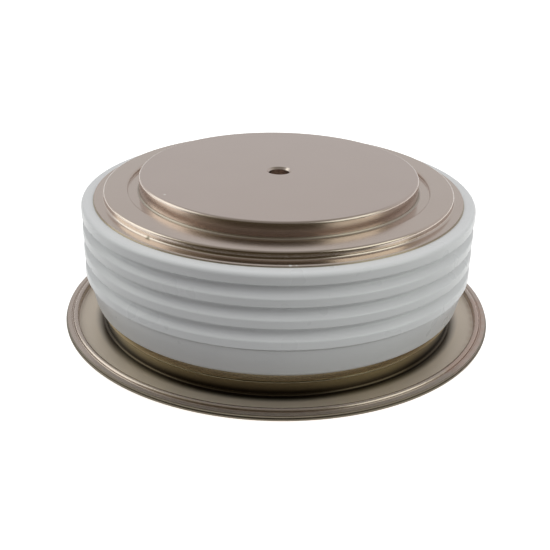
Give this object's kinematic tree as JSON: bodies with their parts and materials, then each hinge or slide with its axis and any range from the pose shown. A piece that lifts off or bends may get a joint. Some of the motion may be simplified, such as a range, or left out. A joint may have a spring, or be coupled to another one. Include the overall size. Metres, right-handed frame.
{
  "type": "press-pack rectifier diode",
  "caption": "Disc-shaped power rectifier diode: ribbed ceramic housing between two flat metal contact faces, with a wide welded rim.",
  "frame": {"origin": "centre of the lower contact face, on the surface that the part stands on", "axes": "+Z along the part's axis, from the lower contact face to the upper one; X and Y are any two directions square to it, because the part is round"},
  "size_m": [0.0742, 0.0742, 0.0264],
  "materials": {
    "pole_nickel": "satin, turned, nickel plated",
    "sheet_nickel": "satin, pressed, nickel plated",
    "braze": "satin",
    "glaze": "glossy white glaze",
    "silver_foil": "satin",
    "molybdenum": "lapped, matt",
    "aluminium_joint": "matt",
    "silicon": "polished",
    "rubber": "matt",
    "plastic": "matt"
  },
  "bodies": {
    "root": {"upper_pole": "pole_nickel", "upper_pole_braze": "braze", "upper_diaphragm": "sheet_nickel", "upper_seal_braze": "braze", "ceramic_ring": "glaze", "lower_seal_braze": "braze", "seal_ring": "sheet_nickel", "flange_braze": "braze", "case_flange": "sheet_nickel", "lid_flange": "sheet_nickel", "lower_pole_braze": "braze", "lower_pole": "pole_nickel", "lower_foil": "silver_foil", "lower_disc": "molybdenum", "alloy_joint": "aluminium_joint", "silicon_wafer": "silicon", "edge_rubber": "rubber", "upper_disc": "molybdenum", "upper_foil": "silver_foil", "centring_ring": "plastic"}
  },
  "joints": []
}
